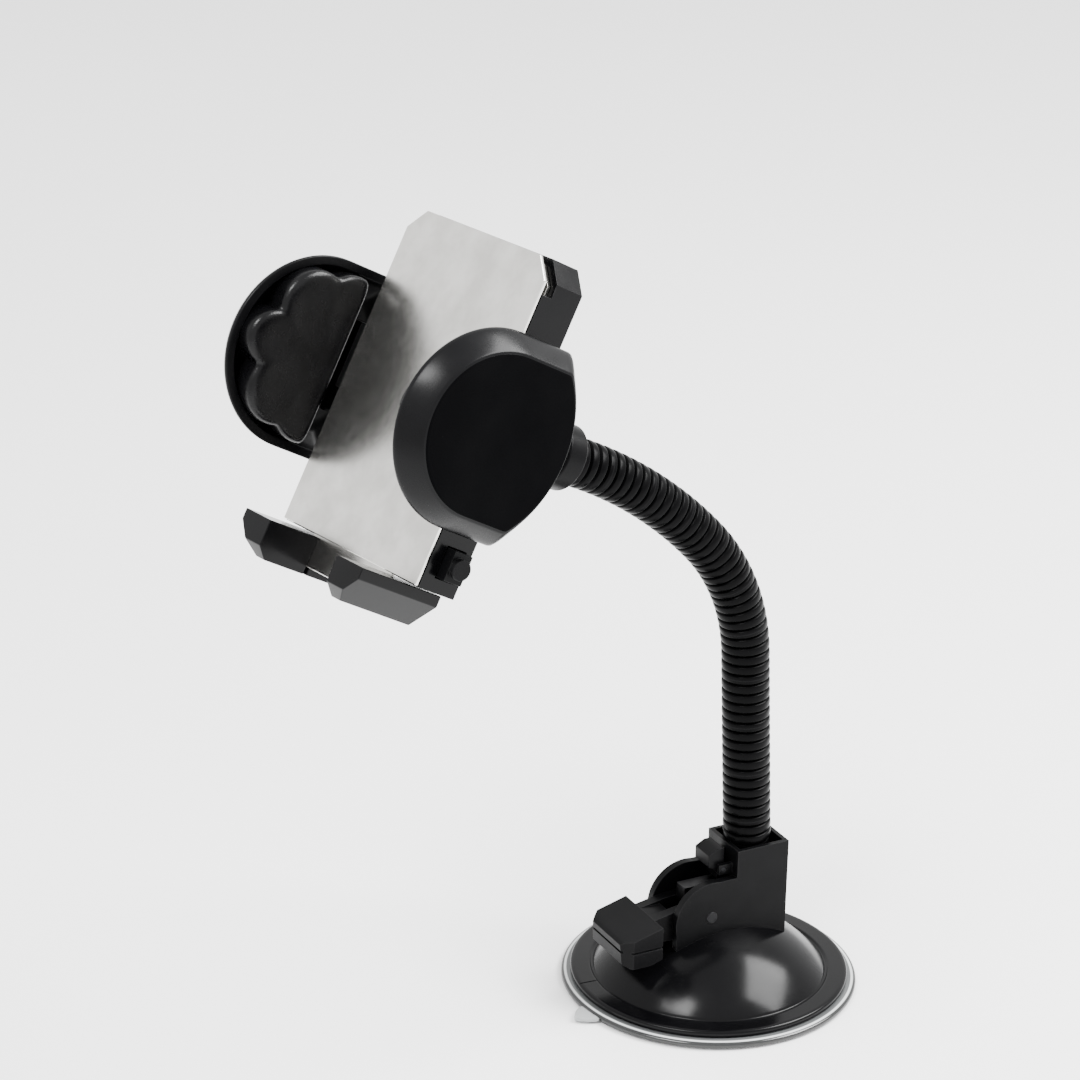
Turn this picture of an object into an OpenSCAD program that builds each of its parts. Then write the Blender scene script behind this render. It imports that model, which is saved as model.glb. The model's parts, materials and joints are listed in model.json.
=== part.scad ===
// Car phone mount: suction base, gooseneck and spring-opening phone cradle.
// Origin: centre of the suction cup's underside. +Z up, the cradle faces -Y.

/* [Suction base] */
// Radius of the suction cup
cup_r = 36.5; // [36:0.5:37]
// Radius of the cover's flange
cover_r = 34.3; // [34:0.1:34.6]
// Radius at which the dome meets the flange
dome_r = 28.5; // [28:0.1:28.8]
// Height of the top of the dome
dome_h = 16.5; // [16.3:0.1:16.7]
// Height that the lever pulls the rod up by
rod_travel = 1.24; // [1.2:0.01:1.26]

/* [Tower] */
// Outside width of the square socket
tower_w = 14.4; // [14.2:0.1:14.6]
// Height of the socket's rim
tower_h = 37; // [36.5:0.5:38]
// Radius of the ears that hold the lever pin
ear_r = 10; // [9.8:0.1:10]

/* [Gooseneck] */
// Outside diameter of the ribbed sleeve
neck_d = 11.8; // [11.6:0.1:11.8]
// Lean of the lower straight stretch, in degrees
neck_lean = 3.1; // [2:0.1:4]
// Length of the lower straight stretch
neck_straight = 50; // [45:1:55]
// Radius of the tight bend
bend_r = 51; // [50:1:60]
// Angle of the tight bend, in degrees
bend_a = 39.1; // [35:0.1:40]
// Radius of the wide bend
sweep_r = 112; // [105:1:125]
// Angle of the wide bend, in degrees
sweep_a = 22.2; // [20:0.1:23]

/* [Cradle] */
// Width of the cradle box
box_w = 54; // [53:1:55]
// Height of the box above the ball centre
box_up = 40.2; // [40:0.1:41]
// Height of the box below the ball centre
box_down = 37; // [36.8:0.1:37]
// Tilt of the cradle, in degrees above level
cradle_tilt = 29.5; // [25:0.5:32]
// Turn of the cradle to its right, in degrees
cradle_yaw = 5.5; // [0:0.5:8]
// Roll of the cradle, in degrees
cradle_roll = -3.75; // [-5:0.25:5]
// Width of the phone that the cradle holds
phone_w = 58.6; // [58:0.1:59]

/* [Grips] */
// Radius of a grip plate's round front
grip_r = 22.8; // [22.5:0.1:23]
// Height of the bevel between a grip's rim and its face
grip_bevel = 6.3; // [6:0.1:6.5]

/* [Hidden] */
$fn = 64;
eps = 0.01;

// ---- base, worked out
shell = 1.8;
dome_edge_z = 3.7;
dome_R = (pow(dome_r, 2) + pow(dome_h - dome_edge_z, 2)) / (2 * (dome_h - dome_edge_z));
dome_c = dome_h - dome_R;
pin = [-4, 20.5];           // lever pin, in Y and Z
pin_r = 1.5;
cam_r = 3.6;
cam_off = 1.5;
yoke_x = 4;                 // thickness of the rod's yoke
socket_y = 10;              // centre of the socket
ear_t = 2;
latch_at = [0.4, 31.5];     // latch pin, in Y and Z
plug_w = 12;

// ---- gooseneck, worked out
links = 10;
neck_at = [9.4, tower_h];
arc1 = bend_r * bend_a * PI / 180;
arc2 = sweep_r * sweep_a * PI / 180;
neck_len = neck_straight + arc1 + arc2;
end_a = neck_lean + bend_a + sweep_a;
function arc_step(r, a, b) = [r * (cos(b) - cos(a)), r * (sin(b) - sin(a))];
function neck_point(s) =
    s <= neck_straight ? neck_at + s * [-sin(neck_lean), cos(neck_lean)] :
    s <= neck_straight + arc1 ?
        neck_point(neck_straight)
        + arc_step(bend_r, neck_lean, neck_lean + (s - neck_straight) / bend_r * 180 / PI) :
        neck_point(neck_straight + arc1)
        + arc_step(sweep_r, neck_lean + bend_a,
                   neck_lean + bend_a + (s - neck_straight - arc1) / sweep_r * 180 / PI);
function joint_at(k) = neck_point(k * neck_len / links);
function link_len(k) = norm(joint_at(k) - joint_at(k - 1));
function link_a(k) =
    atan2(joint_at(k - 1)[0] - joint_at(k)[0], joint_at(k)[1] - joint_at(k - 1)[1]);
neck_gap = 1.7;
bead_r = 3.4;               // ball at the foot of each core link
cup_out = 4.6;              // cup at its head
neck_end = neck_point(neck_len);
ball_reach = 27.1;          // from the gooseneck's end to the ball
stud_lift = 2.5;            // the stud points a little above the gooseneck's end
stud_yaw = 3.6;             // and a little to its right
stud_a = end_a - stud_lift;
ball_at = [
    ball_reach * sin(stud_yaw),
    neck_end[0] - ball_reach * cos(stud_yaw) * sin(stud_a),
    neck_end[1] + ball_reach * cos(stud_yaw) * cos(stud_a)
];

// ---- cradle, in its own frame: origin at the ball, +X the phone's right, +Z up, -Y the front
ball_r = 6.5;
seat_r = 8.6;
nut_r = 12;
housing_r = 10.3;
half_w = box_w / 2;
corner = 5;
front_y = -23.5;
back_y = -12;
plate_t = 1;
wall = 1.7;
face_back_y = front_y + plate_t;
inner_y = [-20.6, -19.7];
arm_y = -19.4;
arm_t = 2.4;
open_z = 32;                // above this the box's front part is open at the sides
mod = 0.8;                  // gear module
teeth = 10;
pitch_r = mod * teeth / 2;
press_a = 25;
addendum = 0.6;
dedendum = 0.8;
backlash = 0.12;
pinion_y = [-19.2, -17.2];
rack_z = [pitch_r + dedendum, 10.4];
foot_z = -37.4;             // shelf that the phone stands on
foot_drop = 9;
rim_x = phone_w / 2 + 4.4;
face_x = rim_x + grip_bevel;
grip_y = -29;               // centre of the grips' round front
grip_back = 14.3;           // from there to the grip's back corners
grip_bulge = 7.4;
button_z = -30;
button_y = -16.5;
pawl_at = [8, -18.5];       // pawl pivot, in X and Z
screw_at = [[-21.5, 32], [21.5, 32], [-21.5, -16], [21.5, -16]];

black = [0.05, 0.05, 0.055];
satin = [0.12, 0.12, 0.13];
steel = [0.75, 0.76, 0.78];
clear_pvc = [0.82, 0.84, 0.85];
foam = [0.08, 0.08, 0.085];

module in_cradle() {
    translate(ball_at)
        rotate([0, 0, cradle_yaw])
            rotate([-cradle_tilt, 0, 0])
                rotate([0, cradle_roll, 0])
                    children();
}
module in_link(k) {
    translate([0, joint_at(k - 1)[0], joint_at(k - 1)[1]])
        rotate([link_a(k), 0, 0])
            children();
}
module at_neck_end() {
    translate([0, neck_end[0], neck_end[1]])
        rotate([stud_a, 0, 0])
            rotate([0, stud_yaw, 0])
                children();
}
// A cylinder along Y from y0 to y1
module along_y(y0, y1, r) {
    translate([0, y1, 0]) rotate([90, 0, 0]) cylinder(r = r, h = y1 - y0);
}
// A cylinder along X from x0 to x1
module along_x(x0, x1, r) {
    translate([x0, 0, 0]) rotate([0, 90, 0]) cylinder(r = r, h = x1 - x0);
}
// A box between two corners
module span(a, b) {
    translate(a) cube(b - a);
}
// A plate whose outline is drawn in X and Z, between y0 and y1
module plate_y(y0, y1) {
    translate([0, y1, 0]) rotate([90, 0, 0]) linear_extrude(y1 - y0) children();
}
// A plate whose outline is drawn in Y and Z, between x0 and x1
module plate_x(x0, x1) {
    translate([x0, 0, 0]) rotate([90, 0, 90]) linear_extrude(x1 - x0) children();
}

// ---- suction base
module dome(r) {
    translate([0, 0, dome_c]) sphere(r = r, $fn = 96);
}
module suction_cup() {
    tab_w = 7;
    tab_reach = 41;
    color(clear_pvc) {
        rotate_extrude($fn = 96)
            polygon([
                [7.2, 3.6], [20, 1.6], [28, 0.6], [33.2, 0], [cup_r - 0.4, 0], [cup_r, 0.5],
                [cup_r, 1.3], [cup_r - 0.9, 1.8], [26.4, 1.8], [20, 3.5], [7.2, 5.8]
            ]);
        difference() {
            rotate([0, 0, -82])
                linear_extrude(1.2)
                    polygon([[30, -tab_w / 2], [tab_reach - 3, -tab_w / 2], [tab_reach, 0],
                             [tab_reach - 3, tab_w / 2], [30, tab_w / 2]]);
            translate([0, 0, -1]) cylinder(r = 35.8, h = 4, $fn = 96);
        }
    }
}
module screw_holes(r) {
    for (x = [-4, 4])
        translate([x, socket_y, 0]) cylinder(r = r, h = 16.6);
}
module base_cover() {
    color(black)
    difference() {
        union() {
            translate([0, 0, 1.8]) cylinder(r = cover_r, h = 1.1, $fn = 96);
            translate([0, 0, 2.9]) cylinder(r1 = cover_r, r2 = cover_r - 0.6, h = 0.6, $fn = 96);
            intersection() {
                dome(dome_R);
                translate([0, 0, 1.8]) cylinder(r = dome_r, h = 20, $fn = 96);
            }
        }
        difference() {
            intersection() {
                dome(dome_R - shell);
                cylinder(r = dome_r - shell, h = 20, $fn = 96);
            }
            for (x = [-4, 4])
                translate([x, socket_y, 11.6]) cylinder(r = 2.9, h = 8);
        }
        span([-yoke_x / 2 - 0.3, pin[0] - 5.2, 8], [yoke_x / 2 + 0.3, 2.75, 20]);
        screw_holes(1.1);
    }
}
module ear_outline() {
    translate([pin[0], 20]) circle(r = ear_r);
    translate([pin[0] - ear_r + 0.3, 8]) square([ear_r + 8, 12]);
    translate([pin[0], 8]) square([8, ear_r + 12 - 0.2]);
}
module tower() {
    half = tower_w / 2;
    front = socket_y - half;
    color(black)
    difference() {
        union() {
            span([-half, front, 9], [half, front + tower_w, tower_h]);
            for (x = [-half, half - ear_t])
                plate_x(x, x + ear_t) ear_outline();
            for (x = [-4.7, 3.6])
                span([x, latch_at[0] - 1.3, latch_at[1] - 1.3], [x + 1.1, front + 0.5, latch_at[1] + 1.3]);
        }
        dome(dome_R + eps);
        span([-plug_w / 2 - 0.1, socket_y - plug_w / 2 - 0.1, 17.5],
             [plug_w / 2 + 0.1, socket_y + plug_w / 2 + 0.1, tower_h + 1]);
        span([-2.8, front - 1, 26.7], [2.8, socket_y - 5, 29.9]);
        translate([0, pin[0], pin[1]]) along_x(-10, 10, pin_r);
        translate([0, latch_at[0], latch_at[1]]) along_x(-6, 6, 0.8);
        screw_holes(1.1);
    }
}
module lever_pin() {
    color(steel)
    translate([0, pin[0], pin[1]]) {
        along_x(-tower_w / 2 - 0.2, tower_w / 2 + 0.2, pin_r);
        along_x(-tower_w / 2 - 0.9, -tower_w / 2, pin_r + 0.7);
    }
}
module tower_screws() {
    color(steel)
    for (x = [-4, 4])
        translate([x, socket_y, 0]) {
            translate([0, 0, 10]) cylinder(r = 2.2, h = 1.6);
            translate([0, 0, 11]) cylinder(r = 1.1, h = 5.2);
        }
}
module latch_pin() {
    color(steel)
    translate([0, latch_at[0], latch_at[1]]) along_x(-4.7, 4.7, 0.8);
}
module neck_plug() {
    color(black)
    difference() {
        union() {
            span([-plug_w / 2, socket_y - plug_w / 2, 17.5], [plug_w / 2, socket_y + plug_w / 2, 31]);
            translate([0, neck_at[0], 30.5]) cylinder(d = neck_d - 1, h = tower_h - 32.4);
        }
        span([-3.2, socket_y - plug_w / 2 - 1, 26.7], [3.2, socket_y - plug_w / 2 + 1.2, 29.9]);
        translate([0, neck_at[0], tower_h]) sphere(r = bead_r + 2.2);
    }
    color(steel)
    difference() {
        translate([0, neck_at[0], 28]) cylinder(r = cup_out, h = tower_h - 28 + 0.9);
        translate([0, neck_at[0], tower_h]) sphere(r = bead_r + 0.1);
    }
}
module pull_rod() {
    bar = 1.1;
    y0 = pin[0] - cam_r - 0.2;
    y1 = pin[0] + cam_off + cam_r + 0.2;
    z0 = pin[1] + cam_off - cam_r - 0.2;
    z1 = pin[1] + cam_off + cam_r + 0.5;
    color(steel) {
        translate([0, 0, 3.3]) cylinder(r = 6.6, h = 2);
        translate([0, 0, 5]) cylinder(r = 1.9, h = z0 - bar - 4.9);
        difference() {
            span([-yoke_x / 2, y0 - bar, z0 - bar], [yoke_x / 2, y1 + bar, z1 + bar]);
            span([-yoke_x, y0, z0], [yoke_x, y1, z1]);
        }
    }
}
module lock_lever() {
    pad_w = 18.8;
    pad_back = -18.8;
    pad_front = -29.4;
    hub_r = 3.9;
    color(black)
    difference() {
        union() {
            translate([0, pin[0], pin[1] + cam_off]) along_x(-2.4, 2.4, cam_r);
            for (x = [-4.9, 2.3])
                plate_x(x, x + 2.6) {
                    translate(pin) circle(r = hub_r);
                    polygon([[pin[0], pin[1] + 3.2], [-12, 23.2], [pad_back - 1, 21.8],
                             [pad_back - 1, 15.5], [-9, 16.9], [pin[0], pin[1] - 3.2]]);
                }
            span([-4.9, pad_back - 0.2, 15.5], [4.9, -13.2, 22]);
            plate_x(-pad_w / 2, pad_w / 2)
                polygon([[pad_back, 13.6], [pad_back, 22.1], [pad_front + 1, 19.6], [pad_front, 18.8],
                         [pad_front + 0.4, 13.6], [pad_front + 2, 12.6], [pad_back - 3, 12.6]]);
        }
        translate([0, pin[0], pin[1]]) along_x(-6, 6, pin_r + 0.04);
        for (m = [0, 1])
            mirror([m, 0, 0])
                translate([pad_w / 2, pad_front, 10])
                    rotate([0, 0, 45]) translate([-1.8, -1.8, 0]) cube([3.6, 3.6, 14]);
        span([-pad_w / 2 - 1, pad_front - 1, 16.6], [pad_w / 2 + 1, pad_front + 0.7, 17.2]);
        for (x = [-pad_w / 2, pad_w / 2])
            span([x - 0.5, pad_front - 1, 16.6], [x + 0.5, pad_back + 1, 17.2]);
    }
}
module socket_latch() {
    color(black)
    difference() {
        union() {
            plate_x(-3.3, 3.3)
                polygon([[-0.5, 30], [1.2, 30], [1.8, 31], [1.8, 32], [1.2, 33], [1.2, 36.7],
                         [-0.8, 36.7], [-3.2, 35.4], [-3.2, 32.2], [-1.4, 31.2]]);
            plate_x(-2.5, 2.5)
                polygon([[-0.2, 28.2], [4.8, 28.2], [4.8, 29.3], [1, 29.5], [1, 31], [-0.2, 31]]);
        }
        translate([0, latch_at[0], latch_at[1]]) along_x(-4, 4, 0.85);
    }
}

// ---- gooseneck
module neck_sleeve(k) {
    ribs = 4;
    len = link_len(k) - 2 * neck_gap;
    pitch = len / ribs;
    bore = cup_out;
    color(black)
    in_link(k)
        translate([0, 0, neck_gap])
            rotate_extrude()
                polygon(concat(
                    [[bore, 0]],
                    [for (i = [0 : ribs - 1], p = [[-0.55, 0], [0, 0.25], [0, 0.7], [-0.55, 1]])
                        [neck_d / 2 + p[0], (i + p[1]) * pitch]],
                    [[bore, len]]
                ));
}
module neck_core(k) {
    len = link_len(k);
    last = k == links;
    tail = last ? len : len - 5;
    color(steel)
    in_link(k) {
        difference() {
            union() {
                sphere(r = bead_r);
                cylinder(r = 2.2, h = tail + eps);
                if (!last) translate([0, 0, tail]) cylinder(r = cup_out, h = 5.9);
                if (last) translate([0, 0, len - 6]) cylinder(r = cup_out, h = 6);
            }
            if (!last) translate([0, 0, len]) sphere(r = bead_r + 0.1);
        }
    }
}
module neck_collar() {
    color(black)
    at_neck_end()
        difference() {
            union() {
                translate([0, 0, 0.4]) cylinder(r = 4.7, h = 3);
                translate([0, 0, 3]) cylinder(r = 7.1, h = 1.2);
                translate([0, 0, 3.8]) cylinder(r = 7.9, h = 4.8);
                translate([0, 0, 8.6]) cylinder(r1 = 7.9, r2 = 7, h = 0.9);
            }
            cylinder(r = 3.2, h = 12);
        }
}
module ball_stud() {
    color(steel)
    at_neck_end() {
        translate([0, 0, ball_reach]) sphere(r = ball_r);
        translate([0, 0, 0.5]) cylinder(r = 3.2, h = ball_reach - 1.5);
        translate([0, 0, 9.5]) cylinder(r = 5.6, h = 2.4, $fn = 6);
    }
}

// ---- ball joint and swivel
module ball_seat() {
    color(satin)
    in_cradle()
        rotate([-90, 0, 0])
            rotate_extrude()
                intersection() {
                    difference() {
                        circle(r = seat_r);
                        circle(r = ball_r + 0.08);
                    }
                    translate([0, -5]) square([10, 8]);
                }
}
module ball_housing() {
    color(black)
    in_cradle()
        difference() {
            union() {
                along_y(back_y + 0.15, 0, housing_r);
                along_y(-13.85, back_y + 0.2, 5);
            }
            sphere(r = seat_r + 0.08);
            along_y(-16, -8, 1.45);
        }
}
module spin_screw() {
    color(steel)
    in_cradle() {
        along_y(-15.2, -13.85, 6.5);
        along_y(-15, -9, 1.45);
    }
}
module clamp_nut() {
    flutes = 18;
    color(black)
    in_cradle()
        difference() {
            along_y(-8, 5.5, nut_r);
            along_y(-9, 0.2, housing_r + 0.08);
            sphere(r = seat_r + 0.08);
            along_y(3.6, 7, 8);
            for (i = [0 : flutes - 1])
                rotate([0, i * 360 / flutes, 0])
                    translate([nut_r + 0.5, 0, 0]) along_y(-9, 7, 1.1);
        }
}

// ---- cradle box
module box_outline(inset = 0, up = box_up) {
    w = half_w - inset;
    c = corner - inset * 0.4;
    polygon([[-w, -box_down + inset], [w, -box_down + inset], [w, up - inset - c], [w - c, up - inset],
             [-w + c, up - inset], [-w, up - inset - c]]);
}
module cradle_back() {
    color(black)
    in_cradle()
        difference() {
            union() {
                plate_y(inner_y[1], back_y) box_outline();
                intersection() {
                    plate_y(face_back_y + 0.1, inner_y[1] + 1) box_outline();
                    span([-half_w - 1, -30, -box_down - 1], [half_w + 1, -10, open_z]);
                }
            }
            difference() {
                plate_y(-30, back_y - wall) box_outline(wall);
                for (p = screw_at)
                    translate([p[0], 0, p[1]]) along_y(inner_y[1], back_y, 2.4);
                for (s = [-1, 1], z = [32, -16])
                    translate([s * 24.5, (inner_y[1] + back_y) / 2, z])
                        cube([6, back_y - inner_y[1], 2], center = true);
                span([14, button_y - 2.5, -33.5], [15.1, back_y, -28]);
            }
            plate_y(-30, inner_y[1]) box_outline(wall);
            along_y(-15, -11, 5.1);
            for (s = [1, -1])
                span([min(s * 20, s * 30), arm_y - 0.15, s > 0 ? rack_z[0] - 2 : -rack_z[1] - 0.2],
                     [max(s * 20, s * 30), arm_y + arm_t + 0.15, s > 0 ? rack_z[1] + 0.2 : -rack_z[0] + 2]);
            span([24, button_y - 2.8, button_z - 3.8], [30, back_y - wall, button_z + 3.8]);
            span([-16.4, -23, -box_down - 1], [16.4, inner_y[0] - 0.1, -box_down + 3]);
            for (p = screw_at)
                translate([p[0], 0, p[1]]) {
                    along_y(-30, -10, 1.05);
                    along_y(back_y - 1.2, -10, 2.1);
                }
            translate([pawl_at[0], 0, pawl_at[1]]) along_y(-16, back_y - 0.8, 0.88);
        }
}
module inner_plate() {
    color(steel)
    in_cradle()
        difference() {
            plate_y(inner_y[0], inner_y[1]) box_outline(wall + 0.1);
            for (p = screw_at)
                translate([p[0], 0, p[1]]) along_y(-30, -10, 1.05);
            along_y(-30, -10, 1.15);
        }
}
module face_plate() {
    color(steel)
    in_cradle()
        union() {
            plate_y(front_y, face_back_y) box_outline(0.2);
            for (x = [-19.2, 17.2])
                span([x, face_back_y - 0.1, open_z - 40], [x + 2, inner_y[0], open_z]);
        }
}
module cradle_screws() {
    color(steel)
    in_cradle()
        for (p = screw_at)
            translate([p[0], 0, p[1]]) {
                difference() {
                    along_y(back_y - 1.2, back_y - 0.1, 2);
                    span([-1.4, back_y - 0.6, -0.25], [1.4, back_y + 1, 0.25]);
                    span([-0.25, back_y - 0.6, -1.4], [0.25, back_y + 1, 1.4]);
                }
                along_y(inner_y[0], back_y - 1, 1.05);
            }
}
module pinion_post() {
    color(steel)
    in_cradle() {
        along_y(inner_y[0] - 0.3, -16, 1.15);
        along_y(-16.1, -15.7, 1.8);
    }
}
module opening_spring() {
    color(steel)
    in_cradle()
        difference() {
            along_y(-17.1, -16.1, 3.1);
            along_y(-18, -15, 1.15);
        }
}

// ---- rack, pinion and arms
base_r = pitch_r * cos(press_a);
tip_r = pitch_r + addendum;
root_r = pitch_r - dedendum;
function inv_a(r) = sqrt(pow(r / base_r, 2) - 1) * 180 / PI - acos(base_r / r);
half_tooth_a = 90 / teeth - backlash / pitch_r * 90 / PI;
function flank(r) = half_tooth_a + inv_a(pitch_r) - inv_a(r);
flank_steps = 4;
module gear_outline() {
    tooth = concat(
        [[root_r - 0.4, flank(base_r)]],
        [for (i = [0 : flank_steps]) let (r = base_r + (tip_r - base_r) * i / flank_steps) [r, flank(r)]]
    );
    circle(r = root_r);
    for (n = [0 : teeth - 1])
        rotate(n * 360 / teeth)
            polygon(concat(
                [for (p = tooth) p[0] * [cos(p[1]), -sin(p[1])]],
                [for (i = [len(tooth) - 1 : -1 : 0]) let (p = tooth[i]) p[0] * [cos(p[1]), sin(p[1])]]
            ));
}
module pinion() {
    color([0.85, 0.85, 0.8])
    in_cradle()
        difference() {
            plate_y(pinion_y[0], pinion_y[1]) rotate(90) gear_outline();
            along_y(-20, -15, 1.2);
        }
}
rack_end = -19.6;
flange_y = -13;
grip_screw_y = -15.1;
circ = PI * mod;
// One tooth of the upper rack, pointing down to the pinion
module rack_tooth(x) {
    half = circ / 4 - backlash / 2;
    t = tan(press_a);
    polygon([
        [x - half - dedendum * t, pitch_r + dedendum + 0.1], [x - half - dedendum * t, pitch_r + dedendum],
        [x - half + addendum * t, pitch_r - addendum], [x + half - addendum * t, pitch_r - addendum],
        [x + half + dedendum * t, pitch_r + dedendum], [x + half + dedendum * t, pitch_r + dedendum + 0.1]
    ]);
}
module arm() {
    first = ceil(rack_end / circ);
    last = floor(8 / circ);
    plate_y(arm_y, arm_y + arm_t)
        difference() {
            union() {
                translate([rack_end, rack_z[0]]) square([face_x - 4.2 - rack_end, rack_z[1] - rack_z[0]]);
                for (n = [first : last - 1]) rack_tooth((n + 0.5) * circ);
                translate([rim_x + 0.2, -11]) square([face_x - 4.15 - rim_x, 22]);
            }
            for (n = [0 : 12])
                translate([rack_end + 2 + 1.8 * n, rack_z[1]])
                    polygon([[0, 0.1], [0, -0.6], [1.2, 0.1]]);
        }
    difference() {
        span([face_x - 4, arm_y - 2.6, -11], [face_x - 1.9, flange_y, 11]);
        for (z = [-8, 8])
            translate([0, grip_screw_y, z]) along_x(face_x - 5, face_x, 0.85);
    }
}
module mirror_arm(side) {
    rotate([0, side > 0 ? 0 : 180, 0]) children();
}
module grip_outline(inset) {
    r = grip_r - inset;
    back = grip_back - inset * 0.4;
    bulge_r = (pow(r, 2) + pow(grip_bulge, 2)) / (2 * grip_bulge);
    translate([grip_y, 0]) {
        circle(r = r, $fn = 96);
        translate([0, -r]) square([back, 2 * r]);
        intersection() {
            translate([back + grip_bulge - bulge_r, 0]) circle(r = bulge_r, $fn = 96);
            translate([back - 1, -r]) square([20, 2 * r]);
        }
    }
}
bevel_steps = 3;
// A grip shell: stepped bevel from the rim to the flat face, hollow inside
module grip_shell() {
    difference() {
        union() {
            for (i = [0 : bevel_steps - 1]) {
                inset = 4.2 * i / bevel_steps;
                x0 = rim_x + grip_bevel * i / bevel_steps;
                plate_x(x0, x0 + grip_bevel / bevel_steps + (i < bevel_steps - 1 ? eps : 0))
                    grip_outline(inset);
            }
        }
        for (i = [0 : bevel_steps - 1]) {
            x0 = rim_x + grip_bevel * i / bevel_steps;
            last = i == bevel_steps - 1;
            plate_x(i == 0 ? rim_x - 1 : x0 - eps, last ? face_x - 1.9 : x0 + grip_bevel / bevel_steps)
                grip_outline(4.2 * i / bevel_steps + 1.8);
        }
        for (z = [-8, 8])
            translate([0, grip_screw_y, z]) along_x(face_x - 3, face_x - 0.8, 0.85);
    }
}
module grip_screw_pair() {
    for (z = [-8, 8])
        translate([0, grip_screw_y, z]) {
            along_x(face_x - 4.8, face_x - 4, 1.7);
            along_x(face_x - 4.2, face_x - 0.9, 0.85);
        }
}
module grip_pad() {
    lobes = [[78, 11.6, 9], [124, 11.6, 9], [180, 14, 6.6], [236, 11.6, 9], [282, 11.6, 9]];
    intersection() {
        plate_x(phone_w / 2 + 0.2, rim_x + grip_bevel / bevel_steps)
            union() {
                translate([grip_y, 0]) circle(r = 14);
                for (l = lobes)
                    translate([grip_y + l[1] * cos(l[0]), l[1] * sin(l[0])]) circle(r = l[2]);
            }
        span([0, -60, -30], [60, front_y - 0.4, 30]);
    }
}
module arm_left() { color(black) in_cradle() mirror_arm(-1) arm(); }
module arm_right() { color(black) in_cradle() mirror_arm(1) arm(); }
module grip_left() { color(satin) in_cradle() mirror_arm(-1) grip_shell(); }
module grip_right() { color(satin) in_cradle() mirror_arm(1) grip_shell(); }
module pad_left() { color(foam) in_cradle() mirror_arm(-1) grip_pad(); }
module pad_right() { color(foam) in_cradle() mirror_arm(1) grip_pad(); }
module grip_screws_left() { color(steel) in_cradle() mirror_arm(-1) grip_screw_pair(); }
module grip_screws_right() { color(steel) in_cradle() mirror_arm(1) grip_screw_pair(); }

// ---- release
module pawl() {
    color([0.85, 0.85, 0.8])
    in_cradle()
        translate([pawl_at[0], 0, pawl_at[1]])
            difference() {
                plate_y(arm_y, arm_y + arm_t) {
                    circle(r = 2.2);
                    polygon([[-1.6, 0], [1.9, 0], [4.6, 7.95], [3.2, 7.7]]);
                    polygon([[1.3, 0.5], [-1.3, 0.5], [-0.9, -7.5], [0.9, -7.5]]);
                }
                along_y(-22, -15, 0.94);
            }
}
module pawl_post() {
    color(steel)
    in_cradle()
        translate([pawl_at[0], 0, pawl_at[1]]) along_y(inner_y[1] + 0.1, back_y - 0.9, 0.88);
}
module release_button() {
    color(black)
    in_cradle()
        difference() {
            union() {
                span([22.4, button_y - 2.5, button_z - 3.5], [30, button_y + 2.5, button_z + 3.5]);
                translate([0, button_y, button_z]) along_x(30, 31.4, 2.4);
                span([9.2, -18.6, -27.6], [23, -16.4, -24.6]);
            }
            translate([0, button_y, button_z - 0.4]) along_x(22, 25.4, 1.8);
        }
}
module button_spring() {
    color(steel)
    in_cradle()
        translate([0, button_y, button_z - 0.4])
            difference() {
                along_x(15.1, 22.9, 1.5);
                along_x(15, 23, 1.1);
            }
}

// ---- feet
module foot_slide() {
    slot_w = 5;
    color(steel)
    in_cradle()
        difference() {
            plate_y(-21.9, -21)
                polygon([[-16, -box_down - 7.5], [16, -box_down - 7.5], [16, -8.5], [13, -6], [-13, -6],
                         [-16, -8.5]]);
            plate_y(-23, -20)
                translate([-slot_w / 2, -32]) square([slot_w, 20]);
        }
}
module foot() {
    inner = 13.8;
    outer = 24;
    low = foot_z - foot_drop;
    difference() {
        plate_y(-36.2, -13)
            polygon([[inner, low], [outer - 6.6, low], [outer, foot_z - 2.6], [outer, foot_z],
                     [inner, foot_z]]);
        translate([0, -36.2, low])
            rotate([45, 0, 0]) span([0, -2, -2], [40, 2, 2]);
        span([inner - 1, -21.9, foot_z - 12], [16, -21, foot_z + 1]);
    }
}
module foot_left() { color(black) in_cradle() mirror([1, 0, 0]) foot(); }
module foot_right() { color(black) in_cradle() foot(); }

suction_cup();
base_cover();
tower();
lever_pin();
tower_screws();
latch_pin();
neck_plug();
pull_rod();
lock_lever();
socket_latch();
for (k = [1 : links]) {
    neck_sleeve(k);
    neck_core(k);
}
neck_collar();
ball_stud();
ball_seat();
ball_housing();
spin_screw();
clamp_nut();
cradle_back();
inner_plate();
face_plate();
cradle_screws();
pinion_post();
opening_spring();
pinion();
arm_left();
grip_left();
pad_left();
grip_screws_left();
arm_right();
grip_right();
pad_right();
grip_screws_right();
pawl();
pawl_post();
release_button();
button_spring();
foot_slide();
foot_left();
foot_right();
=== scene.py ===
import bpy, bmesh, json, math
from mathutils import Vector, Matrix


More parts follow.
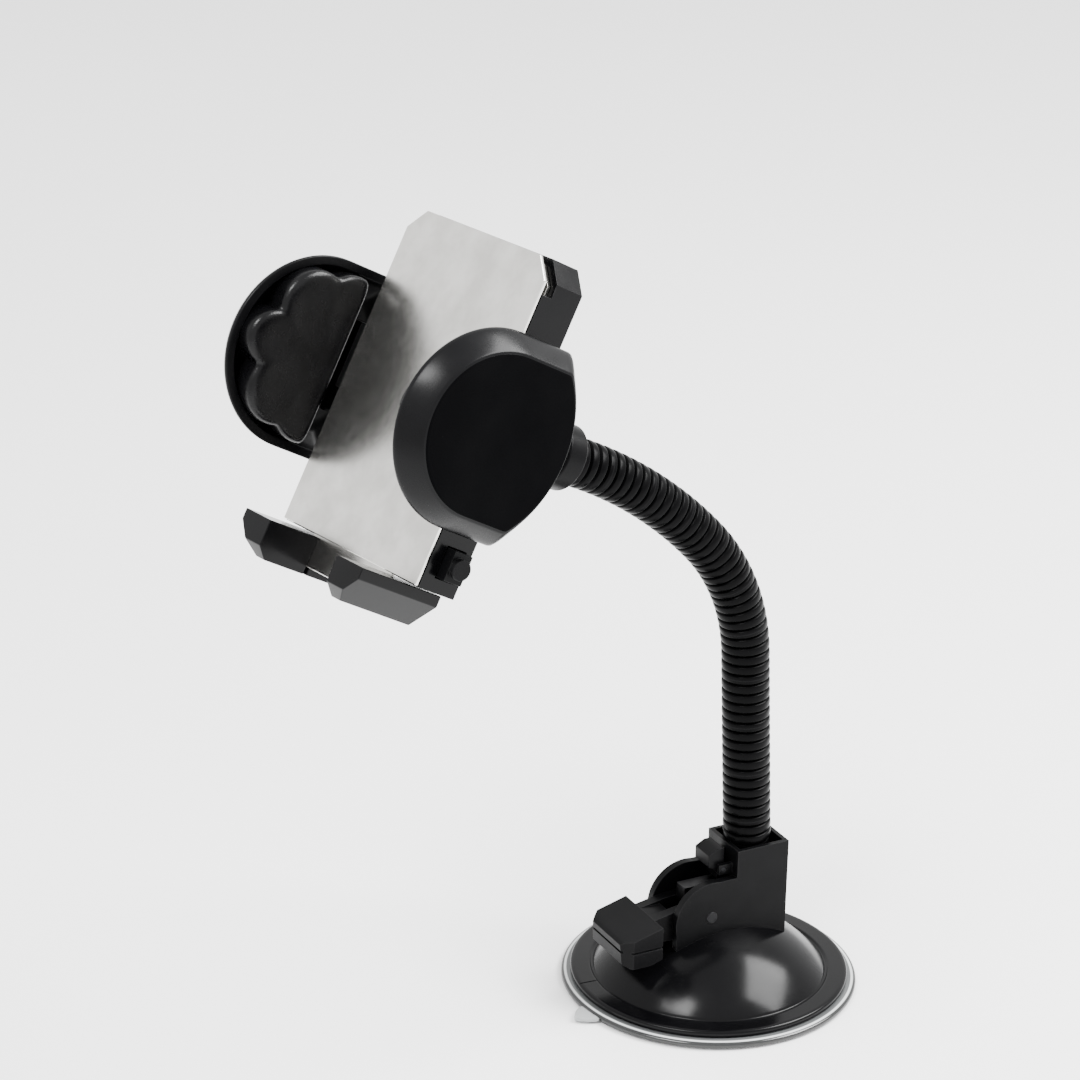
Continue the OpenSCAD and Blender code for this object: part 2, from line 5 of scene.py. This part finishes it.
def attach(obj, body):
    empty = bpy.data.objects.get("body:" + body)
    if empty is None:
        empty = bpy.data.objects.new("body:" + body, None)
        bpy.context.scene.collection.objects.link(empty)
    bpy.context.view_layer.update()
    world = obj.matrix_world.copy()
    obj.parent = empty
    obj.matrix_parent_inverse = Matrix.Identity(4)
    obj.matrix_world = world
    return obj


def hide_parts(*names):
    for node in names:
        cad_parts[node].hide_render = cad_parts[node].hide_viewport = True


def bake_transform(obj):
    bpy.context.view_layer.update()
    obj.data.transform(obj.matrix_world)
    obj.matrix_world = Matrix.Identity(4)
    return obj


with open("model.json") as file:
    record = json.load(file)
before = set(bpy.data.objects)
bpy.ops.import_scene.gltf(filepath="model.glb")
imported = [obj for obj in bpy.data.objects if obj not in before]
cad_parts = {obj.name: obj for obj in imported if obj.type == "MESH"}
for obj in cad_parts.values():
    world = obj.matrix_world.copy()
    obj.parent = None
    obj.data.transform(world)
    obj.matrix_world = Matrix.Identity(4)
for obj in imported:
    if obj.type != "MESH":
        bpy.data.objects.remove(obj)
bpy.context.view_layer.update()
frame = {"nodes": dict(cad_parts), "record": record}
record = frame["record"]
joints = {j["name"]: j for j in record["behaviour"]["joints"]}
MM = 0.001
rad = math.radians


# ---- camera: a long lens, above and in front of the mount's left
def place_camera():
    back = Vector((0.8083, -0.4389, 0.3923))
    right = Vector((0.4693, 0.8828, 0.0207))
    up = Vector((-0.3554, 0.1674, 0.9196))
    data = bpy.data.cameras.new("camera")
    data.lens = 136.1
    data.sensor_width = 36
    data.clip_end = 10
    cam = bpy.data.objects.new("camera", data)
    bpy.context.collection.objects.link(cam)
    spot = Vector((0.7608, -0.4633, 0.4957))
    cam.matrix_world = Matrix((
        (right.x, up.x, back.x, spot.x), (right.y, up.y, back.y, spot.y),
        (right.z, up.z, back.z, spot.z), (0, 0, 0, 1)))
    bpy.context.scene.camera = cam


place_camera()


# ---- materials
def shader(name):
    m = bpy.data.materials.new(name)
    m.use_nodes = True
    nt = m.node_tree
    return m, nt, nt.nodes["Principled BSDF"], nt.links


def coords(nt, scale):
    tc = nt.nodes.new("ShaderNodeTexCoord")
    mp = nt.nodes.new("ShaderNodeMapping")
    mp.inputs["Scale"].default_value = scale if hasattr(scale, "__len__") else (scale,) * 3
    nt.links.new(tc.outputs["Object"], mp.inputs["Vector"])
    return mp.outputs["Vector"]


def noise(nt, vec, scale, detail=3.0, rough=0.5):
    n = nt.nodes.new("ShaderNodeTexNoise")
    n.inputs["Scale"].default_value = scale
    n.inputs["Detail"].default_value = detail
    n.inputs["Roughness"].default_value = rough
    nt.links.new(vec, n.inputs["Vector"])
    return n.outputs["Fac"]


def ramp(nt, fac, a, b, lo=0.3, hi=0.7):
    r = nt.nodes.new("ShaderNodeMapRange")
    r.inputs["From Min"].default_value = lo
    r.inputs["From Max"].default_value = hi
    r.inputs["To Min"].default_value = a
    r.inputs["To Max"].default_value = b
    nt.links.new(fac, r.inputs["Value"])
    return r.outputs["Result"]


def tint(nt, fac, a, b, lo=0.35, hi=0.65):
    r = nt.nodes.new("ShaderNodeValToRGB")
    r.color_ramp.elements[0].position = lo
    r.color_ramp.elements[1].position = hi
    r.color_ramp.elements[0].color = (*a, 1)
    r.color_ramp.elements[1].color = (*b, 1)
    nt.links.new(fac, r.inputs["Fac"])
    return r.outputs["Color"]


def bump(nt, height, depth, bsdf, then=None):
    b = nt.nodes.new("ShaderNodeBump")
    b.inputs["Strength"].default_value = 1.0
    b.inputs["Distance"].default_value = depth
    nt.links.new(height, b.inputs["Height"])
    if then is not None:
        nt.links.new(then, b.inputs["Normal"])
    nt.links.new(b.outputs["Normal"], bsdf.inputs["Normal"])
    return b.outputs["Normal"]


def paint_edge_highlight(nt, colour, highlight_colour, highlight_strength):
    """Painted highlight: edges are painted a little brighter than the faces, standing in for light caught on the edges.
    """
    bev = nt.nodes.new("ShaderNodeBevel")
    bev.samples = 4
    bev.inputs["Radius"].default_value = 0.00035
    geo = nt.nodes.new("ShaderNodeNewGeometry")
    dot = nt.nodes.new("ShaderNodeVectorMath")
    dot.operation = "DOT_PRODUCT"
    nt.links.new(bev.outputs["Normal"], dot.inputs[0])
    nt.links.new(geo.outputs["Normal"], dot.inputs[1])
    # painted highlight mask: up to the given strength where the bevelled normal turns away from the face normal, none
    # on flat faces
    edge = ramp(nt, dot.outputs["Value"], highlight_strength, 0, 0.85, 0.99)
    mix = nt.nodes.new("ShaderNodeMix")
    mix.data_type = "RGBA"
    nt.links.new(edge, mix.inputs["Factor"])
    nt.links.new(colour, mix.inputs["A"])
    mix.inputs["B"].default_value = (*highlight_colour, 1)
    return mix.outputs["Result"]


def plastic(name, dark, light, rough, spread, grain, depth, edge, shine):
    m, nt, bsdf, links = shader(name)
    vec = coords(nt, 1)
    colour = tint(nt, noise(nt, vec, 60, 4), dark, light)
    # painted highlight: a lighter grey (0.16) is painted along the edges; edge sets how much
    links.new(paint_edge_highlight(nt, colour, (0.16, 0.16, 0.165), edge), bsdf.inputs["Base Color"])
    links.new(ramp(nt, noise(nt, vec, 140, 5, 0.6), rough - spread, rough + spread),
              bsdf.inputs["Roughness"])
    fine = bump(nt, noise(nt, vec, grain, 2, 0.6), depth, bsdf)
    bump(nt, noise(nt, vec, 90, 2), depth * 4, bsdf, fine)
    bsdf.inputs["IOR"].default_value = 1.5
    bsdf.inputs["Specular IOR Level"].default_value = shine
    return m


def metal(name, dark, light, rough, stretch, depth, spread=0.08):
    m, nt, bsdf, links = shader(name)
    vec = coords(nt, stretch)
    lines = noise(nt, vec, 900, 4, 0.7)
    links.new(tint(nt, noise(nt, coords(nt, 1), 120, 3), dark, light), bsdf.inputs["Base Color"])
    links.new(ramp(nt, lines, rough - spread, rough + spread), bsdf.inputs["Roughness"])
    bsdf.inputs["Metallic"].default_value = 1.0
    bump(nt, lines, depth, bsdf)
    return m


def foam_material():
    m, nt, bsdf, links = shader("foam")
    vec = coords(nt, 1)
    cells = nt.nodes.new("ShaderNodeTexVoronoi")
    cells.inputs["Scale"].default_value = 2600
    links.new(vec, cells.inputs["Vector"])
    links.new(tint(nt, noise(nt, vec, 180, 4), (0.001, 0.001, 0.0012), (0.0022, 0.0022, 0.0025)),
              bsdf.inputs["Base Color"])
    links.new(ramp(nt, noise(nt, vec, 220, 3), 0.2, 0.34), bsdf.inputs["Roughness"])
    bsdf.inputs["Specular IOR Level"].default_value = 0.16
    skin = bump(nt, cells.outputs["Distance"], 0.00002, bsdf)
    bump(nt, noise(nt, vec, 150, 3), 0.0001, bsdf, skin)
    return m


def cup_material():
    m, nt, bsdf, links = shader("soft_cup")
    vec = coords(nt, 1)
    # clear rubber: grey over the black cover, a painted highlight along the top of the roll, painted shade dark at the
    # outer edge
    flat = nt.nodes.new("ShaderNodeVectorMath")
    flat.operation = "MULTIPLY"
    flat.inputs[1].default_value = (1, 1, 0)
    links.new(vec, flat.inputs[0])
    far = nt.nodes.new("ShaderNodeVectorMath")
    far.operation = "LENGTH"
    links.new(flat.outputs["Vector"], far.inputs[0])
    rim_highlight_shade_bands = nt.nodes.new("ShaderNodeValToRGB")
    rim_highlight_shade_stops = rim_highlight_shade_bands.color_ramp.elements
    rim_highlight_shade_stops[0].position, rim_highlight_shade_stops[1].position = 0.28, 1.0
    rim_highlight_shade_stops[0].color, rim_highlight_shade_stops[1].color = (0.09, 0.093, 0.094, 1), (0.36, 0.37, 0.37, 1)
    # 0.62 from 35.3 to 35.7 mm is a painted highlight on the top of the roll; 0.022 and 0.018 from 35.9 mm outwards are
    # painted shade on the outer edge
    for at, v in ((0.33, 0.62), (0.42, 0.62), (0.48, 0.022), (0.64, 0.018), (0.72, 0.36)):
        rim_highlight_shade_stops.new(at).color = (v, v * 1.02, v * 1.02, 1)
    links.new(ramp(nt, far.outputs["Value"], 0, 1, 0.034, 0.038), rim_highlight_shade_bands.inputs["Fac"])
    mix = nt.nodes.new("ShaderNodeMix")
    mix.data_type = "RGBA"
    mix.blend_type = "MULTIPLY"
    mix.inputs["Factor"].default_value = 1.0
    links.new(rim_highlight_shade_bands.outputs["Color"], mix.inputs["A"])
    links.new(tint(nt, noise(nt, vec, 45, 4), (0.82, 0.83, 0.83), (1, 1, 1)), mix.inputs["B"])
    links.new(mix.outputs["Result"], bsdf.inputs["Base Color"])
    links.new(ramp(nt, noise(nt, vec, 110, 4), 0.08, 0.18), bsdf.inputs["Roughness"])
    bsdf.inputs["Transmission Weight"].default_value = 0.1
    bsdf.inputs["IOR"].default_value = 1.45
    bsdf.inputs["Subsurface Weight"].default_value = 0.05
    bsdf.inputs["Subsurface Radius"].default_value = (0.002, 0.002, 0.002)
    bump(nt, noise(nt, vec, 260, 3), 0.00002, bsdf)
    return m


def nylon_material():
    m, nt, bsdf, links = shader("nylon")
    vec = coords(nt, 1)
    links.new(tint(nt, noise(nt, vec, 80, 3), (0.68, 0.67, 0.62), (0.76, 0.75, 0.70)),
              bsdf.inputs["Base Color"])
    links.new(ramp(nt, noise(nt, vec, 160, 3), 0.35, 0.5), bsdf.inputs["Roughness"])
    bump(nt, noise(nt, vec, 700, 2), 0.00001, bsdf)
    return m


# the eighth number of each plastic sets its painted edge highlight, a lighter grey on the edges
MATS = {
    "gloss": plastic("gloss_black", (0.001, 0.001, 0.0012), (0.0018, 0.0018, 0.0021), 0.19, 0.04,
                     1500, 0.0000012, 0.05, 0.11),
    "satin": plastic("satin_black", (0.0014, 0.0014, 0.0016), (0.0028, 0.0028, 0.0031), 0.34, 0.06,
                     2400, 0.000005, 0.06, 0.06),
    "bevel": plastic("satin_bevel", (0.002, 0.002, 0.0023), (0.0036, 0.0036, 0.004), 0.28, 0.05,
                     2400, 0.000005, 0.12, 0.1),
    "face": plastic("smooth_black", (0.001, 0.001, 0.0012), (0.0017, 0.0017, 0.0019), 0.5, 0.06,
                    2800, 0.000004, 0.05, 0.01),
    "sleeve": plastic("sleeve_black", (0.0008, 0.0008, 0.0009), (0.0016, 0.0016, 0.0018), 0.3, 0.05,
                      1900, 0.000005, 0.04, 0.035),
    "plate": metal("nickel_plate", (0.60, 0.59, 0.56), (0.74, 0.73, 0.70), 0.22, (1, 1, 0.08), 0.0000002, 0.02),
    "steel": metal("turned_steel", (0.42, 0.42, 0.42), (0.56, 0.56, 0.55), 0.3, (1, 1, 1), 0.000002),
    "dark_metal": metal("blackened_metal", (0.012, 0.012, 0.013), (0.02, 0.02, 0.021), 0.36, (1, 1, 1),
                        0.000002),
    "foam": foam_material(),
    "cup": cup_material(),
    "nylon": nylon_material(),
}
SLOTS = {"cup": "cup", "gloss_black": "gloss", "satin_black": "satin", "sleeve": "sleeve",
         "plate": "plate", "steel": "steel", "dark_metal": "dark_metal", "nylon": "nylon", "foam": "foam"}


def dress_node(obj, mat):
    """A CAD node keeps its shape and gets its material and softly broken edges."""
    if not obj.material_slots:
        obj.data.materials.append(mat)
    for s in obj.material_slots:
        s.material = mat
    weld = obj.modifiers.new("weld", "WELD")
    weld.merge_threshold = 0.000002
    flat = obj.modifiers.new("flatten", "DECIMATE")
    flat.decimate_type = "DISSOLVE"
    flat.angle_limit = rad(1.5)
    bev = obj.modifiers.new("edges", "BEVEL")
    bev.width = 0.00022
    bev.segments = 2
    bev.limit_method = "ANGLE"
    bev.angle_limit = rad(35)
    wn = obj.modifiers.new("normals", "WEIGHTED_NORMAL")
    wn.keep_sharp = True
    wn.weight = 60
    for p in obj.data.polygons:
        p.use_smooth = True


for part in record["subparts"]:
    dress_node(frame["nodes"][part["node"]], MATS[SLOTS[part["material_slot"]]])


# ---- mesh helpers, all in millimetres
def solid(name, verts, faces, mat, where=None, flat_above=40):
    """A piece from points in millimetres; where turns a point into the row frame."""
    put = where or (lambda p: Vector(p))
    mesh = bpy.data.meshes.new(name)
    mesh.from_pydata([put(v) * MM for v in verts], [], faces)
    mesh.update()
    bm = bmesh.new()
    bm.from_mesh(mesh)
    bmesh.ops.recalc_face_normals(bm, faces=bm.faces)
    for e in bm.edges:
        if len(e.link_faces) == 2 and e.calc_face_angle(0) > rad(flat_above):
            e.smooth = False
    for f in bm.faces:
        f.smooth = True
    bm.to_mesh(mesh)
    bm.free()
    mesh.materials.append(MATS[mat])
    obj = bpy.data.objects.new(name, mesh)
    bpy.context.collection.objects.link(obj)
    return obj


def loft(rings, closed=False):
    """Points and faces through rings of equal length; closed joins the last ring to the first."""
    n = len(rings[0])
    verts = [p for r in rings for p in r]
    faces = []
    for i in range(len(rings) - (0 if closed else 1)):
        j = (i + 1) % len(rings)
        for k in range(n):
            m = (k + 1) % n
            faces.append((i * n + k, i * n + m, j * n + m, j * n + k))
    if not closed:
        faces.append(tuple(range(n))[::-1])
        faces.append(tuple((len(rings) - 1) * n + k for k in range(n)))
    return verts, faces


def turned(profile, n=192, lift=None, extra=()):
    """A closed (r, z) profile turned round Z. lift(r, angle, z) moves a point up."""
    angles = sorted([360 * k / n for k in range(n)] + list(extra))
    rings = []
    for r, z in profile:
        ring = []
        for deg in angles:
            a = rad(deg)
            ring.append((r * math.cos(a), r * math.sin(a), z + (lift(r, deg, z) if lift else 0)))
        rings.append(ring)
    return loft(rings, True)


def arc_points(c, r, a0, a1, n):
    return [(c[0] + r * math.cos(rad(a0 + (a1 - a0) * i / n)),
             c[1] + r * math.sin(rad(a0 + (a1 - a0) * i / n))) for i in range(n + 1)]


# ---- the gooseneck's centre line, in Y and Z
NECK_FOOT = (9.4, 37.0)
LEAN, RISE = 3.1, 50.0
BEND, SWEEP = (51.0, 39.1), (112.0, 22.2)
ARC1 = BEND[0] * rad(BEND[1])
ARC2 = SWEEP[0] * rad(SWEEP[1])
NECK_LEN = RISE + ARC1 + ARC2
LINKS = 10


def neck_frame(s):
    """Centre point and lean of the gooseneck at a length s from its foot."""
    def step(p, r, a, b):
        return (p[0] + r * (math.cos(rad(b)) - math.cos(rad(a))),
                p[1] + r * (math.sin(rad(b)) - math.sin(rad(a))))
    a = LEAN
    if s <= RISE:
        return (NECK_FOOT[0] - s * math.sin(rad(a)), NECK_FOOT[1] + s * math.cos(rad(a))), a
    p = (NECK_FOOT[0] - RISE * math.sin(rad(a)), NECK_FOOT[1] + RISE * math.cos(rad(a)))
    if s <= RISE + ARC1:
        b = a + math.degrees((s - RISE) / BEND[0])
        return step(p, BEND[0], a, b), b
    p = step(p, BEND[0], a, a + BEND[1])
    a += BEND[1]
    if s <= NECK_LEN:
        b = a + math.degrees((s - RISE - ARC1) / SWEEP[0])
        return step(p, SWEEP[0], a, b), b
    p = step(p, SWEEP[0], a, a + SWEEP[1])
    a += SWEEP[1]
    over = s - NECK_LEN
    return (p[0] - over * math.sin(rad(a)), p[1] + over * math.cos(rad(a))), a


RIB = NECK_LEN / (5 * LINKS)


def rib_radius(s):
    u = (s / RIB) % 1.0
    edge = 0.16
    low, high = 4.85, 5.9
    t = min(u, 1 - u) / 0.5
    t = max(0.0, min(1.0, (t - 0.14) / edge))
    t = t * t * (3 - 2 * t)
    crown = 0.12 * (1 - ((u - 0.5) / 0.4) ** 2) if abs(u - 0.5) < 0.4 else 0
    r = low + (high - 0.12 - low) * t + crown * t
    return min(r, 5.45) if s < 0 else r


def sleeve_piece(name, s0, s1):
    around = 80
    steps = max(2, round((s1 - s0) / RIB * 14))
    rings = []
    for i in range(steps + 1):
        s = s0 + (s1 - s0) * i / steps
        (y, z), a = neck_frame(s)
        r = rib_radius(s)
        c, sn = math.cos(rad(a)), math.sin(rad(a))
        rings.append([(r * math.cos(t), y + r * math.sin(t) * c, z + r * math.sin(t) * sn)
                      for t in (2 * math.pi * k / around for k in range(around))])
    for s in (s1, s0):
        (y, z), a = neck_frame(s)
        c, sn = math.cos(rad(a)), math.sin(rad(a))
        rings.append([(4.72 * math.cos(t), y + 4.72 * math.sin(t) * c, z + 4.72 * math.sin(t) * sn)
                      for t in (2 * math.pi * k / around for k in range(around))])
    verts, faces = loft(rings, True)
    return solid(name, verts, faces, "sleeve", flat_above=70)


def build_gooseneck():
    link = NECK_LEN / LINKS
    for k in range(LINKS):
        s0 = -4.0 if k == 0 else (k - 0.5) * link
        s1 = (k + 0.5) * link
        piece = sleeve_piece("gooseneck_ribs_%d" % (k + 1), s0, s1)
        (ya, za), _ = neck_frame(k * link - 4.5)
        (yb, zb), _ = neck_frame(k * link + 4.5)
        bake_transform(piece)
        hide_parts("neck_sleeve_%d" % (k + 1))
    last = sleeve_piece("gooseneck_ribs_11", (LINKS - 0.5) * link, NECK_LEN + 3.4)
    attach(last, "neck_link_10")


# ---- suction base
def build_base():
    dome_r, top, edge = 28.5, 16.5, 3.7
    big = (dome_r ** 2 + (top - edge) ** 2) / (2 * (top - edge))
    mid = top - big
    half = math.degrees(math.asin(dome_r / big))
    profile = [(0.001, top)]
    profile += [(big * math.sin(rad(half * i / 70)), mid + big * math.cos(rad(half * i / 70)))
                for i in range(1, 71)]
    profile += [(28.62, 3.52), (28.75, 3.34), (29.0, 3.26), (29.25, 3.34), (29.42, 3.5), (29.6, 3.6)]
    profile += [(29.6 + 0.34 * i, 3.6 - 0.01 * i) for i in range(1, 12)]
    profile += [(33.8, 3.42), (34.05, 3.28), (34.22, 3.06), (34.3, 2.8), (34.3, 2.2), (34.22, 1.95),
                (34.0, 1.82), (30.0, 1.8), (26.7, 1.8), (26.7, 3.2)]
    inner = big - 1.8
    a1 = math.degrees(math.asin(26.7 / inner))
    profile += [(inner * math.sin(rad(a1 * i / 20)), mid + inner * math.cos(rad(a1 * i / 20)))
                for i in range(20, 0, -1)]
    profile += [(0.001, mid + inner)]

    mark_at, mark_half, mark_deep = 262.0, 0.2, 0.5

    def mark(r, angle, z):
        """A fine groove across the top of the flange."""
        if z <= 3.3 or not 29.6 < r < 33.9:
            return 0.0
        away = rad(abs(angle - mark_at)) * r
        return -mark_deep * max(0.0, 1 - (away / mark_half) ** 2)
    near = [mark_at + d for d in (-0.4, -0.2, 0.0, 0.2, 0.4)]
    verts, faces = turned(profile, 288, mark, near)
    cover = solid("dome_cover", verts, faces, "gloss", flat_above=50)
    cutter_mesh = bpy.data.meshes.new("slot")
    x, y0, y1, z0, z1 = 2.3 * MM, -9.2 * MM, 2.75 * MM, 8 * MM, 20 * MM
    corners = ((-x, y0), (x, y0), (x, y1), (-x, y1))
    sides = [(i, (i + 1) % 4, (i + 1) % 4 + 4, i + 4) for i in range(4)]
    cutter_mesh.from_pydata([(cx, cy, z) for z in (z0, z1) for cx, cy in corners],
                            [], [(3, 2, 1, 0), (4, 5, 6, 7)] + sides)
    cutter = bpy.data.objects.new("slot", cutter_mesh)
    bpy.context.collection.objects.link(cutter)
    cut = cover.modifiers.new("cut", "BOOLEAN")
    cut.object = cutter
    cut.solver = "EXACT"
    bpy.context.view_layer.objects.active = cover
    bpy.ops.object.modifier_apply(modifier="cut")
    bpy.data.objects.remove(cutter)
    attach(cover, "base")
    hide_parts("base_cover")

    # soft cup with a rolled rim
    cup = [(7.2, 3.7), (12, 2.95), (20, 1.75), (28, 0.7), (32.6, 0.12), (33.6, 0.0), (34.2, 0.04), (34.7, 0.2),
           (35.2, 0.05), (35.9, 0.0), (36.3, 0.12), (36.5, 0.45), (36.5, 1.0), (36.35, 1.3), (36.0, 1.5),
           (35.4, 1.62), (34.6, 1.7), (30, 1.78), (26.4, 1.8), (20, 3.5), (12, 5.1), (7.2, 5.8)]
    verts, faces = turned(cup, 288)
    cup_piece = solid("soft_cup", verts, faces, "cup")
    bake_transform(cup_piece)
    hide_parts("suction_cup")
    # pull tab
    rows = []
    for i in range(13):
        t = i / 12
        r = 35.4 + 5.6 * t
        wide = 3.4 * (1 - t ** 2.2) + 0.35
        thick = 0.62 - 0.12 * t
        row = []
        for u, v in ((-1, -0.6), (-0.8, -1), (0.8, -1), (1, -0.6), (1, 0.6), (0.8, 1), (-0.8, 1), (-1, 0.6)):
            row.append((r, u * wide, 0.66 + v * thick))
        rows.append(row)
    verts, faces = loft(rows)
    a = rad(-82)

    def spin(p):
        return Vector((p[0] * math.cos(a) - p[1] * math.sin(a), p[0] * math.sin(a) + p[1] * math.cos(a), p[2]))
    tab = solid("pull_tab", verts, faces, "cup", spin)
    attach(tab, "base")


# ---- cradle frame
ball = Vector(joints["ball_tilt"]["pos_m"]) / MM
CX = Vector(joints["ball_tilt"]["axis"])
CZ = Vector(joints["ball_pan"]["axis"])
CY = Vector(joints["cradle_spin"]["axis"])


def in_cradle(p):
    return ball + CX * p[0] + CY * p[1] + CZ * p[2]


GRIP_Y, GRIP_R, GRIP_BACK, GRIP_BULGE = -29.0, 22.8, 14.3, 7.4
RIM_X, FACE_X = 33.7, 40.0


def eased(pts):
    """A closed outline with its corners rounded slightly: each point moves towards its neighbours."""
    n = len(pts)
    return [tuple((pts[i - 1][c] + 2 * pts[i][c] + pts[(i + 1) % n][c]) / 4 for c in (0, 1)) for i in range(n)]


def grip_outline(inset):
    """The grip's D in Y and Z: round in front, straight above and below, bowed at the back."""
    r = GRIP_R - inset
    back = GRIP_BACK - 0.4 * inset
    bow = GRIP_BULGE
    big = (r * r + bow * bow) / (2 * bow)
    half = math.degrees(math.asin(r / big))
    pts = arc_points((GRIP_Y, 0), r, 90, 270, 96)
    pts += [(GRIP_Y + back * i / 16, -r) for i in range(1, 17)]
    pts += arc_points((GRIP_Y + back + bow - big, 0), big, -half, half, 56)[1:]
    pts += [(GRIP_Y + back * i / 16, r) for i in range(15, 0, -1)]
    return eased(pts)


def side_point(side):
    """Left is the right-hand shape turned half round about the cradle's own Y."""
    return lambda p: in_cradle((side * p[0], p[1], side * p[2]))


def build_grip(name, side, body):
    steps = [(38.1, 16.0), (38.1, 9.0), (38.1, 6.4), (37.6, 5.8), (35.8, 3.3), (34.2, 2.3), (33.75, 2.1), (33.7, 1.9),
             (33.7, 0.35), (33.78, 0.12), (34.0, 0.0), (34.5, 0.02)]
    for i in range(1, 9):
        t = i / 9
        steps.append((34.5 + 4.9 * t, 0.02 + 3.5 * t ** 1.25))
    steps += [(39.5, 3.66), (39.72, 3.88), (39.85, 4.1), (39.86, 4.35), (39.92, 4.5), (40.0, 4.62), (40.0, 5.2),
              (40.0, 8.0), (40.0, 12.0), (40.0, 17.0)]
    rings = [[(x, y, z) for y, z in grip_outline(i)] for x, i in steps]
    verts, faces = loft(rings)
    n = len(rings[0])
    shell = solid(name, verts, faces, "satin", side_point(side), flat_above=60)
    shell.data.materials.append(MATS["face"])
    shell.data.materials.append(MATS["bevel"])
    bevel_from, face_from = 9, 24
    for poly in shell.data.polygons:
        ring = min(v // n for v in poly.vertices)
        if ring >= bevel_from:
            poly.material_index = 1 if ring >= face_from else 2
    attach(shell, body)
    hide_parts(name.replace("_shell", ""))


def pad_outline(inset):
    lobes = [(78, 11.6, 9.0), (124, 11.6, 9.0), (180, 14.0, 6.6), (236, 11.6, 9.0), (282, 11.6, 9.0)]
    discs = [(GRIP_Y, 0.0, 14.0)] + [(GRIP_Y + d * math.cos(rad(a)), d * math.sin(rad(a)), r) for a, d, r in lobes]
    pts = []
    n = 200
    for k in range(n):
        a = 2 * math.pi * k / n
        dy, dz = math.cos(a), math.sin(a)
        reach = 0
        for y, z, r in discs:
            b = (y - GRIP_Y) * dy + z * dz
            c = (y - GRIP_Y) ** 2 + z * z - r * r
            if b * b - c > 0:
                reach = max(reach, b + math.sqrt(b * b - c))
        reach -= inset
        y = GRIP_Y + reach * dy
        z = reach * dz
        limit = -23.9 - 0.4 * inset
        if y > limit:
            z *= (limit - GRIP_Y) / (y - GRIP_Y)
            y = limit
        pts.append((y, z))
    return eased(eased(pts))


def build_pad(name, side, body):
    steps = [(29.9, 9.0), (29.62, 5.5), (29.5, 3.5), (29.5, 2.2), (29.62, 1.3), (29.95, 0.6), (30.4, 0.2), (31.0, 0.02),
             (33.0, 0.0), (35.0, 0.0), (35.7, 0.0)]
    rings = [[(x, y, z) for y, z in pad_outline(i)] for x, i in steps]
    verts, faces = loft(rings)
    pad = solid(name, verts, faces, "foam", side_point(side), flat_above=60)
    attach(pad, body)
    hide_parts(name.replace("_foam", ""))


build_gooseneck()
build_base()
for word, side in (("right", 1), ("left", -1)):
    build_grip("grip_%s_shell" % word, side, "arm_" + word)
    build_pad("pad_%s_foam" % word, side, "arm_" + word)

# ---- floor and light
def studio():
    half = 3.0
    mesh = bpy.data.meshes.new("floor")
    mesh.from_pydata([(-half, -half, -0.0004), (half, -half, -0.0004), (half, half, -0.0004),
                      (-half, half, -0.0004)], [], [(0, 1, 2, 3)])
    floor = bpy.data.objects.new("floor", mesh)
    bpy.context.collection.objects.link(floor)
    m, nt, bsdf, links = shader("floor_white")
    vec = coords(nt, 1)
    links.new(tint(nt, noise(nt, vec, 3, 2), (0.93, 0.93, 0.93), (0.95, 0.95, 0.95)),
              bsdf.inputs["Base Color"])
    bsdf.inputs["Roughness"].default_value = 0.6
    mesh.materials.append(m)
    world = bpy.context.scene.world or bpy.data.worlds.new("studio")
    bpy.context.scene.world = world
    world.use_nodes = True
    world.node_tree.nodes["Background"].inputs["Color"].default_value = (1, 1, 1, 1)
    world.node_tree.nodes["Background"].inputs["Strength"].default_value = 1.9

    def softbox(name, spot, aim, size, power):
        data = bpy.data.lights.new(name, "AREA")
        data.shape = "RECTANGLE"
        data.size, data.size_y = size
        data.energy = power
        lamp = bpy.data.objects.new(name, data)
        bpy.context.collection.objects.link(lamp)
        lamp.location = spot
        lamp.rotation_euler = (Vector(aim) - Vector(spot)).to_track_quat("-Z", "Y").to_euler()
    softbox("key", (0.22, 0.52, 0.72), (0, -0.03, 0.08), (0.6, 0.42), 25)
    softbox("front", (0.16, -0.46, 0.78), (0, -0.05, 0.12), (0.34, 0.2), 9)


studio()
